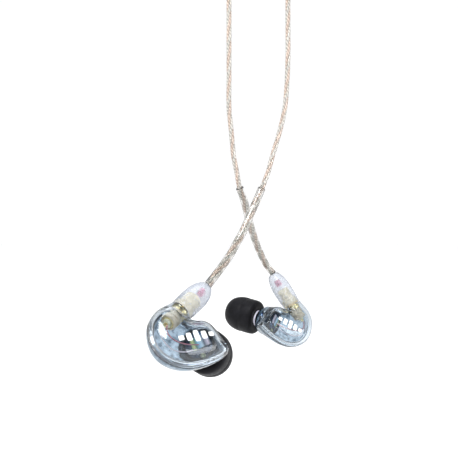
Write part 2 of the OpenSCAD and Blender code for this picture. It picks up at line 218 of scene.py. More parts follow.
def lay_bands(made, pitch, turns, distortion):
    """Diagonal bands on a tube's UV map, from 0 to 1: pitch mm apart, with turns round it."""
    mapping = made.nodes.new("ShaderNodeMapping")
    # A diagonal wave texture of scale 1 turns through this angle over each unit of the map.
    radians_per_unit = 10
    per_cycle = 2 * math.pi / radians_per_unit
    mapping.inputs["Scale"].default_value = (per_cycle / pitch, per_cycle * turns, 1)
    wave = made.nodes.new("ShaderNodeTexWave")
    wave.bands_direction = "DIAGONAL"
    wave.inputs["Scale"].default_value = 1.0
    wave.inputs["Distortion"].default_value = distortion
    made.links.new(made.places.outputs["UV"], mapping.inputs["Vector"])
    made.links.new(mapping.outputs["Vector"], wave.inputs["Vector"])
    return wave.outputs["Fac"]


def stranded(name, light, painted_lay_shade):
    """A bundle of fine bare strands: the glint of their lay is painted along the bundle, as lighter bands
    of painted highlight and darker bands of painted shade in its colour, over a relief of the same bands.
    """
    made = Material(name, light, 0.3, Metallic=0.1)
    lay_relief_and_painted_glint = lay_bands(made, 1.2, 2, 1.2)
    # Painted glint: the colour goes from the darker colour, painted shade, to the lighter one, painted
    # highlight, across each band of the lay.
    made.color(made.ramp(lay_relief_and_painted_glint, [(0.25, painted_lay_shade), (0.75, light)]))
    made.roughness(made.noise(1500), 0.25, 0.45)
    return made.bump(lay_relief_and_painted_glint, 5e-5, 0.6)


def driver_film():
    """The film on the driver's back, with stripes of interference colours across it."""
    made = Material("driver_film", (0.4, 0.5, 0.6), 0.2)
    stripes = [
        (0.00, (0.10, 0.12, 0.15)), (0.12, (0.98, 0.80, 0.84)), (0.22, (0.60, 0.50, 0.56)),
        (0.32, (0.16, 0.18, 0.22)), (0.44, (0.80, 0.92, 0.98)), (0.62, (0.42, 0.70, 0.90)),
        (0.74, (0.16, 0.34, 0.24)), (0.86, (0.92, 0.94, 0.40)), (1.00, (0.20, 0.30, 0.18)),
    ]
    split = made.nodes.new("ShaderNodeSeparateXYZ")
    made.links.new(made.places.outputs["UV"], split.inputs["Vector"])
    made.color(made.ramp(split.outputs["Y"], stripes))
    made.roughness(made.noise(1600), 0.12, 0.3)
    return made.bump(made.noise(2500), 1e-5, 0.5)


materials = {
    # In clear_shell, clear_sleeve and clear_cord the second colour is painted shade, where the plastic
    # turns from the view.
    "clear_shell": clear_plastic(
        "clear_shell", (0.68, 0.75, 0.81), (0.10, 0.15, 0.20), low=0.0, high=0.03
    ),
    "rippled_shell": rippled_shell(),
    "clear_boot": milky(),
    "clear_sleeve": clear_plastic(
        "clear_sleeve", (0.99, 0.99, 0.98), (0.50, 0.47, 0.44), low=0.05, high=0.12, ior=1.42, grain=1500
    ),
    "clear_cord": clear_plastic(
        "clear_cord", (0.99, 0.98, 0.97), (0.30, 0.28, 0.26), low=0.06, high=0.14, ior=1.42, grain=1500
    ),
    "white_print": moulded("white_print", (0.93, 0.94, 0.95), 0.3, 0.5, depth=3e-6),
    "filter_mesh": metal("filter_mesh", (0.55, 0.56, 0.58), 0.3, 0.5),
    "driver_metal": metal("driver_metal", (0.04, 0.07, 0.12), 0.16, 0.3),
    "driver_film": driver_film(),
    "magnet_metal": metal("magnet_metal", (0.42, 0.43, 0.45), 0.3, 0.5),
    "diaphragm_film": moulded("diaphragm_film", (0.7, 0.74, 0.8), 0.15, 0.3),
    "copper_wire": metal("copper_wire", (0.78, 0.42, 0.24), 0.25, 0.4),
    "gold_plate": metal("gold_plate", (1.0, 0.80, 0.42), 0.2, 0.34, 900),
    "ivory_plastic": moulded("ivory_plastic", (1.0, 0.92, 0.68), 0.3, 0.45),
    "socket_ivory": moulded("socket_ivory", (1.0, 0.80, 0.58), 0.3, 0.45),
    "red_wire": moulded("red_wire", (0.66, 0.24, 0.27), 0.3, 0.45),
    "pink_wire": moulded("pink_wire", (0.84, 0.70, 0.72), 0.3, 0.45),
    "olive_dot": moulded("olive_dot", (0.36, 0.36, 0.22), 0.4, 0.6),
    "tip_core_plastic": moulded("tip_core_plastic", (0.74, 0.72, 0.84), 0.35, 0.5),
    "black_foam": black_foam(),
    "pink_sleeve": moulded("pink_sleeve", (0.84, 0.42, 0.54), 0.35, 0.5),
    # Each strand finish has a lighter colour for the painted highlight and a darker one for the painted
    # shade of its lay.
    "copper_strands": stranded("copper_strands", (0.80, 0.67, 0.59), (0.52, 0.41, 0.34)),
    "silver_strands": stranded("silver_strands", (0.80, 0.78, 0.73), (0.48, 0.47, 0.44)),
    "grey_plastic": moulded("grey_plastic", (0.30, 0.31, 0.33), 0.35, 0.5),
    "black_rubber": moulded("black_rubber", (0.03, 0.03, 0.032), 0.5, 0.7),
    "black_plastic": moulded("black_plastic", (0.02, 0.02, 0.022), 0.3, 0.45),
}


# ---- mesh helpers ----------------------------------------------------------------------
def add_mesh(name, points, faces, finish, body, place=Matrix(), uv=None, mirrored=False):
    """A smooth piece from points in millimetres, put in place and riding on its body."""
    mesh = bpy.data.meshes.new(name)
    if mirrored:
        faces = [face[::-1] for face in faces]
    placed = np.asarray(points, float) @ np.array(place.to_3x3()).T + np.array(place.translation)
    mesh.from_pydata((placed * MM).tolist(), [], faces)
    mesh.polygons.foreach_set("use_smooth", [True] * len(mesh.polygons))
    if uv is not None:
        layer = mesh.uv_layers.new(name="uv")
        loops = np.empty(len(mesh.loops), int)
        mesh.loops.foreach_get("vertex_index", loops)
        layer.data.foreach_set("uv", np.asarray(uv, float)[loops].ravel())
    mesh.materials.append(materials[finish].data)
    mesh.validate()
    mesh.update()
    piece = bpy.data.objects.new(name, mesh)
    bpy.context.scene.collection.objects.link(piece)
    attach(piece, body)
    return piece


def unit(v):
    return v / np.linalg.norm(v, axis=-1, keepdims=True)


def spline(p, step):
    """Points about step apart on a smooth curve through all but the end corners of p."""
    made = []
    for a, b, c, d in zip(p, p[1:], p[2:], p[3:]):
        count = max(2, round(np.linalg.norm(c - b) / step))
        for t in np.arange(count) / count:
            bend = 2 * a - 5 * b + 4 * c - d
            twist = 3 * b - a - 3 * c + d
            made.append(0.5 * (2 * b + (c - a) * t + bend * t**2 + twist * t**3))
    return np.array(made + [p[-2]])


def smooth_path(corners, step):
    """A smooth curve through all the corners, with points about step apart."""
    p = np.array(corners, float)
    return spline(np.vstack([2 * p[0] - p[1], p, 2 * p[-1] - p[-2]]), step)


def closed_path(corners, step):
    """A smooth loop through the corners, which ends where it starts."""
    p = np.array(corners, float)
    return spline(np.vstack([p[-1], p, p[:2]]), step)


def carried_frames(path):
    """Two directions across the path at each point, carried along it without a twist."""
    along = unit(np.gradient(path, axis=0))
    start = np.array([1.0, 0, 0]) if abs(along[0][0]) < 0.9 else np.array([0, 1.0, 0])
    across = [unit(start - along[0] * (start @ along[0]))]
    for t in along[1:]:
        across.append(unit(across[-1] - t * (across[-1] @ t)))
    across = np.array(across)
    return across, np.cross(along, across)


def distances(path):
    """How far along the path each of its points is."""
    return np.concatenate([[0], np.linalg.norm(np.diff(path, axis=0), axis=1).cumsum()])


def sweep(name, path, radius, finish, body, sides):
    """A closed tube along the path, whose UV map is (length in mm, way round)."""
    u, v = carried_frames(path)
    radius = np.broadcast_to(radius, len(path))
    angles = np.arange(sides) * 2 * math.pi / sides
    rings = path[:, None] + radius[:, None, None] * (
        np.cos(angles)[:, None] * u[:, None] + np.sin(angles)[:, None] * v[:, None]
    )
    points = np.vstack([rings.reshape(-1, 3), path[:1], path[-1:]])
    faces = [
        (i * sides + k, i * sides + (k + 1) % sides, (i + 1) * sides + (k + 1) % sides, (i + 1) * sides + k)
        for i in range(len(path) - 1) for k in range(sides)
    ]
    first, last, base = len(points) - 2, len(points) - 1, (len(path) - 1) * sides
    faces += [(first, (k + 1) % sides, k) for k in range(sides)]
    faces += [(last, base + k, base + (k + 1) % sides) for k in range(sides)]
    along = np.repeat(distances(path), sides)
    uv = np.column_stack([along, np.tile(angles / (2 * math.pi), len(path))])
    uv = np.vstack([uv, [[0, 0], [along[-1], 0]]])
    return add_mesh(name, points, faces, finish, body, uv=uv)


def revolve(name, profile, finish, body, place=Matrix(), segments=64, mirrored=False, squeeze=None):
    """A piece turned round its own Z axis. The profile is (radius, height) pairs, closed.
    squeeze, if given, moves the points, for a shape that isn't quite round."""
    profile = np.array(profile, float)
    count = len(profile)
    angles = np.arange(segments) * 2 * math.pi / segments
    rings = np.stack([
        np.outer(np.cos(angles), profile[:, 0]),
        np.outer(np.sin(angles), profile[:, 0]),
        np.tile(profile[:, 1], (segments, 1)),
    ], axis=-1)
    points = rings.reshape(-1, 3)
    if squeeze:
        points = squeeze(points)
    faces = [
        (a * count + i, ((a + 1) % segments) * count + i,
         ((a + 1) % segments) * count + (i + 1) % count, a * count + (i + 1) % count)
        for a in range(segments) for i in range(count)
    ]
    reach = np.abs(profile[:, 0]).max()
    uv = points[:, :2] / (2 * reach) + 0.5
    return add_mesh(name, points, faces, finish, body, place, uv, mirrored)


def rounded(profile):
    """The closed profile with each corner cut to a small arc."""
    widest = 0.15
    share = 0.3
    made = []
    p = np.array(profile, float)
    for a, b, c in zip(np.roll(p, 1, 0), p, np.roll(p, -1, 0)):
        r = min(widest, np.linalg.norm(a - b) * share, np.linalg.norm(c - b) * share)
        start, end = b + unit(a - b) * r, b + unit(c - b) * r
        for t in np.linspace(0, 1, 4):
            made.append((1 - t) ** 2 * start + 2 * t * (1 - t) * b + t**2 * end)
    return made


def surface(field, origin, step):
    """Points and quads round the region of the grid where field is below zero. Each cell that
    the surface crosses gets one point, at the mean of the crossings on its edges."""
    inside = field < 0
    cells = tuple(n - 1 for n in field.shape)
    total = np.zeros(cells + (3,))
    count = np.zeros(cells)
    corner = np.stack(np.meshgrid(*map(np.arange, cells), indexing="ij"), -1).astype(float)
    for axis in range(3):
        ahead = [slice(None)] * 3
        behind = [slice(None)] * 3
        ahead[axis], behind[axis] = slice(1, None), slice(None, -1)
        low, high = field[tuple(behind)], field[tuple(ahead)]
        crossed = (low < 0) != (high < 0)
        part = np.where(crossed, low / np.where(crossed, low - high, 1), 0)
        others = [k for k in range(3) if k != axis]
        for i in (0, 1):
            for j in (0, 1):
                pick = [slice(None)] * 3
                pick[others[0]] = slice(i, cells[others[0]] + i)
                pick[others[1]] = slice(j, cells[others[1]] + j)
                hit, at = crossed[tuple(pick)], part[tuple(pick)]
                place = np.zeros(cells + (3,))
                place[..., axis] = at
                place[..., others[0]] = i
                place[..., others[1]] = j
                total += place * hit[..., None]
                count += hit
    used = count > 0
    number = np.full(cells, -1)
    number[used] = np.arange(used.sum())
    points = (corner[used] + total[used] / count[used][:, None]) * step + origin
    faces = []
    for axis in range(3):
        ahead = [slice(1, -1)] * 3
        behind = [slice(1, -1)] * 3
        ahead[axis], behind[axis] = slice(1, None), slice(None, -1)
        low, high = inside[tuple(behind)], inside[tuple(ahead)]
        a, b = [(axis + 1) % 3, (axis + 2) % 3]
        for leaving in (True, False):
            at = np.argwhere((low != high) & (low == leaving))
            at[:, [a, b]] += 1
            ring = []
            for i, j in [(-1, -1), (0, -1), (0, 0), (-1, 0)]:
                moved = at.copy()
                moved[:, a] += i
                moved[:, b] += j
                ring.append(number[tuple(moved.T)])
            quads = np.stack(ring if leaving else ring[::-1], -1)
            faces += quads.tolist()
    return points, faces


def relaxed(points, faces):
    """Evens out a dense mesh without shrinking it: each step in is followed by one out."""
    quads = np.array(faces)
    rounds = 3
    for step in [0.5, -0.52] * rounds:
        total = np.zeros_like(points)
        count = np.zeros(len(points))
        for i in range(4):
            a, b = quads[:, i], quads[:, (i + 1) % 4]
            np.add.at(total, a, points[b])
            np.add.at(total, b, points[a])
            np.add.at(count, a, 1)
            np.add.at(count, b, 1)
        points = points + step * (total / count[:, None] - points)
    return points


# ---- places ----------------------------------------------------------------------------
# Each earpiece has its own frame, with the middle of its socket's mouth as the origin. The
# turns are in degrees, about x, y and z.
earpiece_at = {"right": (-22.7, -28.5, -197), "left": (14, 22, -203.5)}
earpiece_turn = {"right": (-42, 0, 33.5), "left": (-28.5, 31.5, 11)}
boot_turn = (0, 57, 2)
nozzle_turn = (0, 83, 48)
nozzle_at = (4, 3, -8.5)


def turn(degrees):
    return Euler([math.radians(a) for a in degrees], "XYZ").to_matrix().to_4x4()


def earpiece_place(side):
    """Where an earpiece is. The left one is the right one's mirror image."""
    place = Matrix.Translation(earpiece_at[side]) @ turn(earpiece_turn[side])
    if side == "left":
        place = place @ Matrix.Diagonal((-1, 1, 1, 1))
    return place


def boot_place(side):
    return earpiece_place(side) @ turn(boot_turn)


def nozzle_place(side):
    return earpiece_place(side) @ Matrix.Translation(nozzle_at) @ turn(nozzle_turn)


# ---- cords -----------------------------------------------------------------------------
leg_d = 1.6
sleeve_d = 2.5
main_d = 2.2
coil_r = 9.5
coil_z = leg_d / 2 - coil_r
main_coil_r = coil_r - leg_d / 2 + main_d / 2
main_layers = 4
main_exit_r = main_coil_r + (main_layers - 1) * main_d
leg_turns = 2.5
main_turns = 12.5
main_y = 8.1
main_coil_span = 7
leg_coil_start = 1
leg_coil_span = 4
winding_step = 15

right_route = [
    [-16, -17.5, -191.5], [-13.5, -15, -188.5], [-11.5, -12.5, -186], [-9, -10, -182.5],
    [-7, -7.5, -179], [-5, -5.5, -175.5], [-3, -3.5, -171], [-0.5, -1.5, -165.5],
    [1, -0.5, -162], [3, 0, -157], [4.5, 0, -151.5], [6, 0, -146.5], [7.5, 0, -141],
    [8.5, 0, -136], [9, 0, -131], [9.5, 0, -120], [9.5, 0, -105], [9.5, -0.5, -80],
    [9.5, -1, -50], [9.5, -1, -25], [9.5, -1, coil_z],
]
left_route = [
    [7, 24.5, -191.5], [4.5, 23.5, -188.5], [2, 20, -184], [0, 16, -179.5], [-1.5, 12, -175.5],
    [-3, 8, -171], [-4.5, 4.5, -165.5], [-6, 2.5, -161.5], [-7, 1, -156.5],
    [-8, 0.5, -151.5], [-8.5, 0, -146.5], [-9, 0, -141], [-9.5, 0, -136], [-9.5, 0, -125],
    [-9.5, 0, -105], [-9.5, 0.5, -80], [-9.5, 1, -50], [-9.5, 1, -25], [-9.5, 1, coil_z],
]
leg_return = [
    [-9.5, -5, coil_z], [-9.5, -5, -14], [-8.5, -4.5, -20], [-6, -3, -28],
    [-3, -1.5, -36], [-1.5, -0.5, -42], [-1.2, 0, -47], [-1.2, 0, -58], [-1.2, 0, -69],
]
main_route = [
    [0, 0, -77], [0, 0, -81], [0, 1, -84], [0, 3, -86.5], [0, 5.5, -87.5], [0, 8, -86.5],
    [0, 10, -84], [0, 11, -81], [-0.5, 11, -74], [-3, 10.5, -60], [-6.5, 9.5, -44],
    [-9, 8.5, -30], [-main_coil_r, main_y, -20], [-main_coil_r, main_y, coil_z],
]
main_end = [[main_exit_r, main_y, coil_z], [main_exit_r, main_y, -16], [main_exit_r, main_y, -25]]
# How many points of each route the ear hook sleeve covers.
sleeve_ends = {"right": 9, "left": 8}


def leg_winding(side):
    """Two and a half turns up and round the peg, beside each other."""
    way = 1 if side == "right" else -1
    whole = 360 * leg_turns
    for angle in range(winding_step, int(whole), winding_step):
        a = math.radians(angle)
        y = -way * (leg_coil_start + leg_coil_span * angle / whole)
        yield [way * coil_r * math.cos(a), y, coil_z + coil_r * math.sin(a)]


def main_winding():
    """Four layers of turns, back and forth along the peg."""
    layer_turn = 360 * main_turns / main_layers
    climb = 60
    for angle in range(winding_step, int(360 * main_turns), winding_step):
        layer = int(angle // layer_turn)
        part = angle / layer_turn - layer
        step_up = min(1, part * layer_turn / climb) if layer else 1
        radius = main_coil_r + main_d * (layer - 1 + step_up if layer else 0)
        y = main_y + main_coil_span * (part if layer % 2 == 0 else 1 - part)
        a = math.radians(angle)
        yield [-radius * math.cos(a), y, coil_z + radius * math.sin(a)]


def twisted(path, offset, pitch, phase):
    """A strand's path, twisted round the cord's own line."""
    u, v = carried_frames(path)
    angle = 2 * math.pi * (distances(path) / pitch + phase)
    return path + offset * (np.cos(angle)[:, None] * u + np.sin(angle)[:, None] * v)


def add_strands(name, path, radius, offset, pitch, count):
    """Copper and silver conductors, twisted together inside the clear jacket."""
    made = []
    for i in range(count):
        finish = "copper_strands" if i % 2 == 0 else "silver_strands"
        line = twisted(path, offset, pitch, i / count)
        made.append(sweep(f"{name}_strand_{i + 1}", line, radius, finish, "cable", 8))
    return made


def make_leg(side):
    """A leg of the cable, from its boot to the splitter. Returns the path under its sleeve."""
    route = right_route if side == "right" else left_route
    back = leg_return if side == "right" else [[-x, -y, z] for x, y, z in leg_return]
    corners = route + list(leg_winding(side)) + back
    path = smooth_path(corners, 0.8)
    jacket = sweep(f"{side}_leg_jacket", path, leg_d / 2, "clear_cord", "cable", 16)
    strands = add_strands(f"{side}_leg", path, radius=0.40, offset=0.37, pitch=9.5, count=2)
    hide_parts(f"{side}_leg_cord", f"{side}_leg_coil")
    return smooth_path(route[:sleeve_ends[side]], 0.5)


def make_main(plug_cover):
    """The main cable, from the splitter through its coil to the plug."""
    corners = main_route + list(main_winding()) + main_end
    path = smooth_path(corners, 1.2)
    jacket = sweep("main_jacket", path, main_d / 2, "clear_cord", "cable", 16)
    strands = add_strands("main", path, radius=0.46, offset=0.58, pitch=12.0, count=4)
    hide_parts("main_cord", "main_coil")


def make_ear_sleeve(side, path):
    """The clear sleeve that keeps the cord bent over the ear. It grips the cord's jacket, so
    its bore lies just inside the jacket's surface and light goes straight from one to the other."""
    u, v = carried_frames(path)
    sides = 20
    grip = 0.02
    angles = np.arange(sides) * 2 * math.pi / sides
    ring = np.cos(angles)[:, None] * u[:, None] + np.sin(angles)[:, None] * v[:, None]
    outer = path[:, None] + sleeve_d / 2 * ring
    inner = path[:, None] + (leg_d / 2 - grip) * ring
    count = len(path) * sides
    points = np.vstack([outer.reshape(-1, 3), inner.reshape(-1, 3)])
    faces = []
    for i in range(len(path) - 1):
        for k in range(sides):
            a, b = i * sides + k, i * sides + (k + 1) % sides
            faces.append((a, b, b + sides, a + sides))
            faces.append((count + b, count + a, count + a + sides, count + b + sides))
    for k in range(sides):
        a, b = k, (k + 1) % sides
        faces.append((b, a, count + a, count + b))
        a, b = count - sides + k, count - sides + (k + 1) % sides
        faces.append((a, b, count + b, count + a))
    piece = add_mesh(f"{side}_hook_sleeve", points, faces, "clear_sleeve", "cable")
    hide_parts(f"{side}_ear_sleeve")


# ---- slider, splitter and plug ---------------------------------------------------------
slider_foot = -65
splitter_foot = -80
plug_top = -34
housing_len = 18
housing_r = 3.6


def ribbed(profile, low, high, pitch, depth):
    """The profile with grooves between two heights, pitch apart and depth deep."""
    made = []
    for (r1, z1), (r2, z2) in zip(profile, profile[1:]):
        count = max(1, round(abs(z2 - z1) / (pitch / 8)))
        for t in np.arange(count) / count:
            z = z1 + (z2 - z1) * t
            part = min(max((z - low) * (high - z), 0), 1)
            groove = max(0, math.cos(2 * math.pi * (z - low) / pitch)) ** 2
            made.append((r1 + (r2 - r1) * t - depth * groove * part, z))
    return [*made, profile[-1]]


def make_cable_parts():
    """The slider, which draws the legs together, and the splitter where they join."""
    slider = [
        (0.1, 0), (2.5, 0), (2.9, 0.2), (3.1, 0.6), (3.3, 4), (3.1, 7.4), (2.9, 7.8), (2.5, 8), (0.1, 8),
    ]
    slider = ribbed(slider, low=1.8, high=6.2, pitch=0.9, depth=0.18)
    place = Matrix.Translation((0, 0, slider_foot))
    slider_piece = revolve("slider_ring", slider, "grey_plastic", "slider", place)
    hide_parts("slider")
    splitter = [
        (0.1, 0), (1.6, 0), (1.8, 0.15), (2.2, 0.6), (2.6, 3), (3, 6), (3.1, 8), (3.1, 10), (3, 13.3),
        (2.8, 13.8), (2.5, 14), (0.1, 14),
    ]
    splitter = ribbed(splitter, low=0.8, high=5.6, pitch=1.2, depth=0.3)
    place = Matrix.Translation((0, 0, splitter_foot))
    piece = revolve("splitter_body", splitter, "grey_plastic", "cable", place)
    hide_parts("splitter")
    return piece


def make_plug_cover():
    """The plug's moulded grip, and the ribbed relief that keeps its cord from kinking."""
    r = housing_r
    grip = [
        (1.3, 0), (r - 0.4, 0), (r - 0.1, 0.15), (r, 0.5), (r, 3), (r - 0.12, 3.2), (r, 3.4), (r, 12.6),
        (r - 0.1, 13.6), (r - 0.5, 16), (r - 0.85, 17.7), (r - 1, housing_len), (1.3, housing_len),
    ]
    grip = ribbed(grip, low=4.4, high=12, pitch=0.8, depth=0.14)
    place = Matrix.Translation((main_exit_r, main_y, plug_top - housing_len))
    cover = revolve("plug_grip", grip, "black_plastic", "cable", place)
    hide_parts("plug_housing")
    sleeve = [
        (0.9, 0.02), (2.5, 0.02), (2.6, 0.2), (2.4, 3), (1.9, 8), (1.55, 11.6), (1.45, 11.9), (0.9, 11.9),
    ]
    sleeve = ribbed(sleeve, low=1.2, high=10.8, pitch=1.3, depth=0.4)
    place = Matrix.Translation((main_exit_r, main_y, plug_top))
    relief = revolve("plug_flex_relief", sleeve, "black_rubber", "cable", place)
    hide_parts("plug_relief")
    return cover, relief


splitter_piece = make_cable_parts()
for side in SIDES:
    hooked_path = make_leg(side)
    make_ear_sleeve(side, hooked_path)
make_main(make_plug_cover())


# ---- shells ----------------------------------------------------------------------------
shell_wall = 0.9
rim_wall = 1.5
seam_y = 0.8
driver_back = -0.9
driver_len = 4.2
outer_depth = 4.8
inner_depth = 5.6
face_rounding = 5.5
ear_rounding = 7.0
dome_power = 2.3
collar_r = 3.3
driver_housing_r = 4.9
nozzle_end = 13.4
nozzle_bore_r = 1.45
boot_room_r = 3.5
socket_room_r = 2.42
seam_gap = 0.06
# Corners of the face, as x and z in the earpiece's own frame.
face_outline = [
    [-0.4, 1.7], [0.9, -0.4], [1.4, -2.2], [3.0, -3.1], [5.4, -3.5], [7.3, -5.0], [8.5, -7.6],
    [9.3, -10.4], [9.8, -12.8], [9.0, -13.6], [7, -14.3], [3.6, -15.0], [-0.8, -15.2],
    [-4.6, -14.3], [-7.8, -12.1], [-9.6, -9], [-9.9, -5.4], [-8.9, -1.8], [-6.6, 0.8], [-3.6, 2],
]


def outline_depth(x, z):
    """How far inside the face outline each point is, below zero outside it."""
    line = closed_path(face_outline, 0.6)
    nearest = np.full(x.shape, 1e9)
    inside = np.zeros(x.shape, bool)
    for (ax, az), (bx, bz) in zip(line, line[1:]):
        dx, dz = bx - ax, bz - az
        t = np.clip(((x - ax) * dx + (z - az) * dz) / (dx * dx + dz * dz), 0, 1)
        nearest = np.minimum(nearest, np.hypot(x - ax - t * dx, z - az - t * dz))
        crosses = (az > z) != (bz > z)
        with np.errstate(divide="ignore", invalid="ignore"):
            inside ^= crosses & (x < ax + (z - az) * dx / dz)
    return np.where(inside, nearest, -nearest)


def smooth_union(a, b, k):
    """The lower of two fields, with a fillet of about k."""
    h = np.clip(0.5 + 0.5 * (b - a) / k, 0, 1)
    return b + (a - b) * h - k * h * (1 - h)


def pillow(depth_in, y):
    """A domed body on the outline, deeper on the side of the ear."""
    depth = np.where(y < seam_y, outer_depth, inner_depth)
    round_off = np.where(y < seam_y, face_rounding, ear_rounding)
    edge = np.maximum(round_off - depth_in, 0) / round_off
    rise = np.abs(y - seam_y) / depth
    reach = (edge**dome_power + rise**dome_power) ** (1 / dome_power)
    return (reach - 1) * np.minimum(round_off, depth)


def axis_places(x, y, z, place):
    """Distance from an axis, and place along it, of each point."""
    inverse = place.inverted()
    rows = [[inverse[i][j] for j in range(4)] for i in range(3)]
    u, v, t = [r[0] * x + r[1] * y + r[2] * z + r[3] for r in rows]
    return np.hypot(u, v), t


def horn_radius(t):
    """The outside radius from the driver's housing to the nozzle."""
    return np.interp(t, [2.2, 3.4, 4.6, 5.4, 5.8, 6.2], [4.8, 4.7, 4.2, 3.6, 3.1, 2.2])


def earpiece_fields(x, y, z):
    """The body's outside, its cavity, and the room for the boot and the socket."""
    pill = pillow(outline_depth(x[:, :1, :], z[:, :1, :]) + 0 * y, y)
    r_boot, t_boot = axis_places(x, y, z, turn(boot_turn))
    r_driver, t_driver = axis_places(x, y, z, Matrix.Translation(nozzle_at) @ turn(nozzle_turn))
    collar = np.maximum(r_boot - collar_r, np.maximum(t_boot - 0.2, -4 - t_boot))
    housing = np.maximum(r_driver - driver_housing_r, np.maximum(t_driver - 3.0, -1.2 - t_driver))
    horn_side = (r_driver - horn_radius(t_driver)) * 0.8
    horn = np.maximum(horn_side, np.maximum(t_driver - nozzle_end, -t_driver))
    body = smooth_union(pill, collar, 1.2)
    body = smooth_union(body, housing, 1.6)
    body = smooth_union(body, horn, 1.2)
    bore = np.maximum(r_driver - nozzle_bore_r, -t_driver)
    rim = np.clip(1.5 - np.abs(y - seam_y) / 0.8, 0, 1)
    wall = shell_wall + (rim_wall - shell_wall) * rim
    cavity = np.minimum(smooth_union(pill, np.maximum(housing, -t_driver - 1), 1.6) + wall, bore)
    throat_side = (r_driver - horn_radius(t_driver) + shell_wall) * 0.8
    throat = np.maximum(throat_side, np.abs(t_driver - 3.5) - 3.5)
    cavity = np.minimum(cavity, throat)
    boot_room = np.maximum(r_boot - boot_room_r, 0.2 - t_boot)
    socket_room = np.maximum(r_boot - socket_room_r, -6 - t_boot)
    return body, cavity, np.minimum(boot_room, socket_room)


def half_shell_mesh(half):
    """One half shell as points and quads: outer, on the face's side, or inner."""
    step = 0.28
    low = np.array([-11.2, -5.2, -17.2])
    high = np.array([15.5, 14.8, 3.6])
    axes = [np.arange(a, b, step) for a, b in zip(low, high)]
    x, y, z = np.meshgrid(*axes, indexing="ij")
    body, cavity, rooms = earpiece_fields(x, y, z)
    seam = y - (seam_y - seam_gap) if half == "outer" else (seam_y + seam_gap) - y
    field = np.maximum.reduce([body, -cavity, -rooms, seam])
    points, faces = surface(field, low, step)
    return relaxed(points, faces), faces


shell_meshes = {half: half_shell_mesh(half) for half in ("outer", "inner")}


def make_shells(side):
    """The two half shells. The inner one takes in the nozzle."""
    for half, (points, faces) in shell_meshes.items():
        finish = "clear_shell" if half == "outer" else "rippled_shell"
        piece = add_mesh(
            f"{side}_{half}_half", points, faces, finish, f"{side}_earpiece",
            earpiece_place(side), mirrored=side == "left",
        )
        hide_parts(f"{side}_{half}_shell")
        if half == "inner":
            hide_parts(f"{side}_nozzle")


def face_y(x, z):
    """The y of the face's surface at each x and z inside the outline."""
    inward = outline_depth(x, z)
    edge = np.maximum(face_rounding - inward, 0) / face_rounding
    return seam_y - outer_depth * (1 - np.minimum(edge, 0.99) ** dome_power) ** (1 / dome_power)


def plate_faces(cols, rows, base=0):
    """Faces of a plate: two layers of a grid, numbered from base, joined round their rims."""
    size = cols * rows
    faces = []
    for a in range(cols - 1):
        for b in range(rows - 1):
            q = a * rows + b
            faces.append((q, q + rows, q + rows + 1, q + 1))
            faces.append((size + q + 1, size + q + rows + 1, size + q + rows, size + q))
    rim = [a * rows for a in range(cols)] + [(cols - 1) * rows + b for b in range(1, rows)]
    rim += [a * rows + rows - 1 for a in range(cols - 2, -1, -1)] + list(range(rows - 2, 0, -1))
    faces += [(q, p, p + size, q + size) for p, q in zip(rim, rim[1:] + rim[:1])]
    return [tuple(base + k for k in face) for face in faces]


def make_level_bars(side):
    """Five printed level bars that follow the curve of the face."""
    heights = [1.2, 2.1, 3, 2.1, 1.2]
    bar_w = 1.4
    bar_pitch = 2.1
    first_x = -3.9
    middle_z = -9.2
    proud, sunk = 0.06, 0.05
    points, faces = [], []
    for i, height in enumerate(heights):
        wide = np.linspace(-bar_w / 2, bar_w / 2, 9)
        x, z = np.meshgrid(wide, np.linspace(-0.5, 0.5, 13), indexing="ij")
        x = x * (1 - 0.3 * np.abs(2 * z) ** 6) + bar_pitch * i + first_x
        z = z * height + middle_z
        y = face_y(x, z)
        faces += plate_faces(*x.shape, len(points))
        for lift in (-proud, sunk):
            points += np.stack([x, y + lift, z], -1).reshape(-1, 3).tolist()
    piece = add_mesh(
        f"{side}_level_bars", points, faces, "white_print", f"{side}_earpiece",
        earpiece_place(side), mirrored=side == "left",
    )
    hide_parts(f"{side}_face_mark")


# ---- what shows through the shells -----------------------------------------------------
def make_driver(side):
    """The driver's can, with the gasket round it and the vent cap and film on its back."""
    place = nozzle_place(side)
    body = f"{side}_earpiece"
    mirrored = side == "left"
    can = [
        (0.6, 0), (1.4, 0), (1.5, -0.12), (2.9, -0.12), (3.0, 0), (3.4, 0), (3.7, 0.3), (3.7, 2.6),
        (3.6, 2.7), (3.6, 2.9), (3.7, 3.0), (3.7, driver_len), (3.35, driver_len), (3.35, 0.3), (0.6, 0.3),
    ]
    back = place @ Matrix.Translation((0, 0, driver_back))
    piece = revolve(f"{side}_driver_body", rounded(can), "driver_metal", body, back, 72, mirrored)
    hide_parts(f"{side}_driver_can")
    ring = [(3.75, 0.3), (4.5, 0.1), (4.6, 0.7), (4.5, 1.4), (3.75, 1.5)]
    revolve(f"{side}_driver_gasket", rounded(ring), "black_rubber", body, back, 72, mirrored)
    dot = [(0.05, -0.35), (0.5, -0.35), (0.7, -0.2), (0.75, 0.05), (0.05, 0.05)]
    at_dot = back @ Matrix.Translation((3.3, -0.2, -0.1))
    revolve(f"{side}_vent_cap", rounded(dot), "olive_dot", body, at_dot, 24, mirrored)
    make_film(side, back @ Matrix.Translation((-0.3, -0.8, -0.2)))


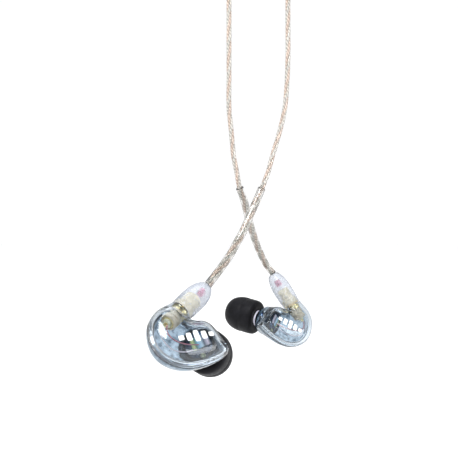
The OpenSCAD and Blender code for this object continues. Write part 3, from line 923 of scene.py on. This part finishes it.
def make_film(side, place):
    """A thin film, a little bowed, across the back of the driver."""
    half_w, half_h = 2.5, 1.6
    thickness = 0.06
    wide, high = np.linspace(-half_w, half_w, 17), np.linspace(-half_h, half_h, 9)
    across, up = np.meshgrid(wide, high, indexing="ij")
    bow = -0.25 * (1 - (across / half_w) ** 2)
    layers = [np.stack([up, across, bow + lift], -1).reshape(-1, 3) for lift in (-thickness, 0)]
    uv = np.stack([up / (2 * half_h) + 0.5, across / (2 * half_w) + 0.5], -1).reshape(-1, 2)
    add_mesh(
        f"{side}_driver_film", np.vstack(layers), plate_faces(*across.shape), "driver_film",
        f"{side}_earpiece", place, np.vstack([uv, uv]), side == "left",
    )


def make_socket(side):
    """The gold-plated mouth of the socket, and the pale holder that it is pressed into."""
    mouth = [
        (1.6, -3.6), (1.2, -3.6), (1.2, -4.9), (1.55, -4.9), (1.75, -4.7), (1.75, -1.4), (2.1, -1.4),
        (2.1, -1.2), (2.38, -1.1), (2.38, -0.02), (1.7, -0.02), (1.6, -0.12),
    ]
    holder = [
        (1.8, -5.0), (2.15, -5.0), (2.3, -4.8), (2.3, -3.9), (2.1, -3.8), (2.1, -3.5), (2.35, -3.4),
        (2.35, -1.5), (1.8, -1.5),
    ]
    pieces = [("mouth", mouth, "gold_plate"), ("holder", holder, "socket_ivory")]
    for name, profile, finish in pieces:
        piece = revolve(
            f"{side}_socket_{name}", rounded(profile), finish, f"{side}_earpiece", boot_place(side),
            64, side == "left",
        )
        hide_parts(f"{side}_socket_shell")


def make_plug(side):
    """The plug on the cable: a gold barrel that snaps into the socket, and a pale cover over
    its flange and its crimp."""
    place = boot_place(side)
    mirrored = side == "left"
    barrel = [
        (1.0, -3.1), (1.35, -3.2), (1.53, -3.0), (1.53, -2.0), (1.32, -1.9), (1.32, -1.4), (1.53, -1.3),
        (1.53, 0.3), (1.95, 0.35), (1.95, 1.1), (1.6, 1.2), (1.6, 2.9), (1.0, 2.9),
    ]
    piece = revolve(f"{side}_plug_body", rounded(barrel), "gold_plate", "cable", place, 64, mirrored)
    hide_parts(f"{side}_plug_barrel")
    crimp = [
        (1.65, 1.15), (1.9, 1.15), (1.95, 1.3), (1.95, 2.9), (1.8, 3.15), (1.5, 3.25), (1.5, 6.9),
        (1.2, 7.2), (0.5, 7.2), (0.5, 3.0), (1.65, 3.0),
    ]
    piece = revolve(f"{side}_crimp_cover", rounded(crimp), "ivory_plastic", "cable", place, 64, mirrored)
    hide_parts(f"{side}_crimp_sleeve")


# Two thin wires from the socket to the back of the driver, in the earpiece's own frame.
wire_routes = [
    [[-5.3, -1.5, -4.2], [-5.8, -1.6, -6.4], [-4.4, -1.4, -8.4], [-1.2, -0.2, -9.2], [3.2, 1.7, -9]],
    [[-6.4, -0.4, -3.2], [-7, -0.4, -6.6], [-5.2, 0, -9.8], [-1.6, 1, -10.6], [2.6, 2.4, -9.8]],
]


def make_lead_wires(side):
    wire_r = 0.16
    place = np.array(earpiece_place(side))
    for name, route, finish in zip(("signal", "return"), wire_routes, ("red_wire", "pink_wire")):
        path = smooth_path(route, 0.25)
        path = path @ place[:3, :3].T + place[:3, 3]
        piece = sweep(f"{side}_{name}_wire", path, wire_r, finish, f"{side}_earpiece", 10)
        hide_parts(f"{side}_lead_wires")


# ---- boots and tips --------------------------------------------------------------------
boot_len = 14
boot_r = 3.2
tip_back = 6.3


def boot_profile():
    """A bullet, moulded round the plug, the crimp and the splice with no gap. It swells a
    little past the shell's collar."""
    widest_r = 3.45
    widest_at = 6
    base = [
        (0.05, 0.3), (3.0, 0.3), (3.17, 0.45), (boot_r, 0.8), (boot_r, 1.4), (3.35, 2.6), (3.42, 4.2),
    ]
    nose = [(widest_r - 1.85 * (t / 8) ** 3, widest_at + t) for t in np.linspace(0, 7.5, 12)]
    return base + nose + [(1.3, boot_len - 0.2), (0.9, boot_len), (0.05, boot_len)]


def make_boot(side):
    piece = revolve(
        f"{side}_boot_skin", boot_profile(), "clear_boot", "cable", boot_place(side), 72, side == "left"
    )
    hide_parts(f"{side}_boot")


def foam_profile():
    """A foam tip: a flat back, a low base band, a shallow step, then a long dome."""
    base = [(2.85, 0.3), (5.2, 0.3), (5.75, 0.5), (6.1, 1.0), (6.25, 1.8), (6.3, 3.4), (6.3, 4.6)]
    step = [(6.22, 5.0), (6.2, 5.2), (6.3, 5.5), (6.38, 6.0)]
    angles = np.radians(np.linspace(4, 86, 16))
    dome = [(2.7 + 3.68 * math.cos(a), 6.4 + 6.2 * math.sin(a)) for a in angles]
    bore = [(2.5, 12.5), (2.3, 12.2), (2.25, 11), (2.3, 8.9), (2.85, 8.7)]
    return base + step + dome + bore


def make_tip(side):
    """The foam tip, and the tube inside it that grips the nozzle."""
    place = nozzle_place(side) @ Matrix.Translation((0, 0, tip_back))
    rng = np.random.default_rng(7)
    phases = rng.uniform(0, 6.3, 4)

    def handled(points):
        """Foam that has been pressed before is never quite round."""
        angle = np.arctan2(points[:, 1], points[:, 0])
        z = points[:, 2]
        swell = sum(np.cos((k + 2) * angle + phases[k] + 0.3 * z) / (k + 2) for k in range(4))
        out = np.hypot(points[:, 0], points[:, 1]) > 3
        share = 0.006
        return points * (1 + (share * swell * out)[:, None] * np.array([1, 1, 0]))

    foam = revolve(
        f"{side}_foam_dome", foam_profile(), "black_foam", f"{side}_tip", place, 96, side == "left", handled
    )
    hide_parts(f"{side}_foam_tip")
    core = [(2.25, -0.6), (2.7, -0.6), (2.9, -0.45), (2.9, 0.25), (2.8, 0.3), (2.8, 8.4), (2.25, 8.4)]
    ring = revolve(
        f"{side}_core_tube", rounded(core), "tip_core_plastic", f"{side}_tip", place, 64, side == "left"
    )
    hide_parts(f"{side}_tip_core")


for side in SIDES:
    make_shells(side)
    make_level_bars(side)
    make_driver(side)
    make_socket(side)
    make_plug(side)
    make_lead_wires(side)
    make_boot(side)
    make_tip(side)


# ---- CAD nodes that keep their shape ---------------------------------------------------
def finish_node(node, finish):
    """Puts a finish on a CAD node, in every material slot that it has."""
    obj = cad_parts[node]
    if not obj.material_slots:
        obj.data.materials.append(materials[finish].data)
    for slot in obj.material_slots:
        slot.material = materials[finish].data


earpiece_finishes = {
    "nozzle_filter": "filter_mesh", "driver_magnet": "magnet_metal", "diaphragm": "diaphragm_film",
    "voice_coil": "copper_wire", "socket_insulator": "ivory_plastic",
    "socket_contact": "gold_plate", "snap_ring": "magnet_metal",
    "plug_insulator": "ivory_plastic", "plug_pin": "gold_plate", "wire_splice": "pink_sleeve",
}
for side in SIDES:
    for node, finish in earpiece_finishes.items():
        finish_node(f"{side}_{node}", finish)
cable_finishes = {
    "plug_sleeve_contact": "gold_plate", "plug_ring_contact": "gold_plate",
    "plug_tip_contact": "gold_plate", "plug_insulators": "black_plastic",
}
for node, finish in cable_finishes.items():
    finish_node(node, finish)


# ---- floor and light -------------------------------------------------------------------
def make_floor():
    """A plain pale floor that the part hangs clear of."""
    reach = 3.0
    drop = 0.06
    mesh = bpy.data.meshes.new("floor")
    corners = [(-reach, -reach, 0), (reach, -reach, 0), (reach, reach, 0), (-reach, reach, 0)]
    mesh.from_pydata(corners, [], [(0, 1, 2, 3)])
    floor = bpy.data.objects.new("floor", mesh)
    floor.location = (0, 0, cad_box[0].z - drop)
    pale = Material("pale_floor", (0.5, 0.5, 0.5), 0.8, Emission_Strength=0.72)
    pale.shader.inputs["Emission Color"].default_value = (1, 1, 1, 1)
    pale.roughness(pale.noise(30), 0.7, 0.9)
    mesh.materials.append(pale.data)
    bpy.context.scene.collection.objects.link(floor)


def make_world():
    """Even white round the horizon, and a greyer sky, which gives clear plastic its edges."""
    world = bpy.data.worlds.new("studio")
    world.use_nodes = True
    nodes, links = world.node_tree.nodes, world.node_tree.links
    places = nodes.new("ShaderNodeTexCoord")
    split = nodes.new("ShaderNodeSeparateXYZ")
    ramp = nodes.new("ShaderNodeValToRGB")
    ramp.color_ramp.elements[0].position = 0.46
    ramp.color_ramp.elements[0].color = (1, 1, 1, 1)
    ramp.color_ramp.elements[1].position = 0.72
    ramp.color_ramp.elements[1].color = (0.16, 0.18, 0.21, 1)
    links.new(places.outputs["Generated"], split.inputs["Vector"])
    links.new(split.outputs["Z"], ramp.inputs["Fac"])
    links.new(ramp.outputs["Color"], nodes["Background"].inputs["Color"])
    nodes["Background"].inputs["Strength"].default_value = 1.02
    bpy.context.scene.world = world


def add_softbox(name, location, aim, size, power):
    """A soft light of the size in metres, turned to the aim, of the power in watts."""
    data = bpy.data.lights.new(name, "AREA")
    data.shape = "RECTANGLE"
    data.size, data.size_y = size
    data.energy = power
    light = bpy.data.objects.new(name, data)
    light.location = location
    light.rotation_mode = "QUATERNION"
    light.rotation_quaternion = (Vector(location) - Vector(aim)).to_track_quat("Z", "Y")
    bpy.context.scene.collection.objects.link(light)


make_floor()
make_world()
middle = (0, 0, -0.2)
add_softbox("key_softbox", (-0.25, -0.4, 0.45), middle, (0.5, 0.4), 9.0)
add_softbox("fill_softbox", (0.5, -0.35, -0.15), middle, (0.4, 0.3), 1.6)
add_softbox("top_softbox", (0.05, 0.3, 0.5), middle, (0.6, 0.3), 1.6)
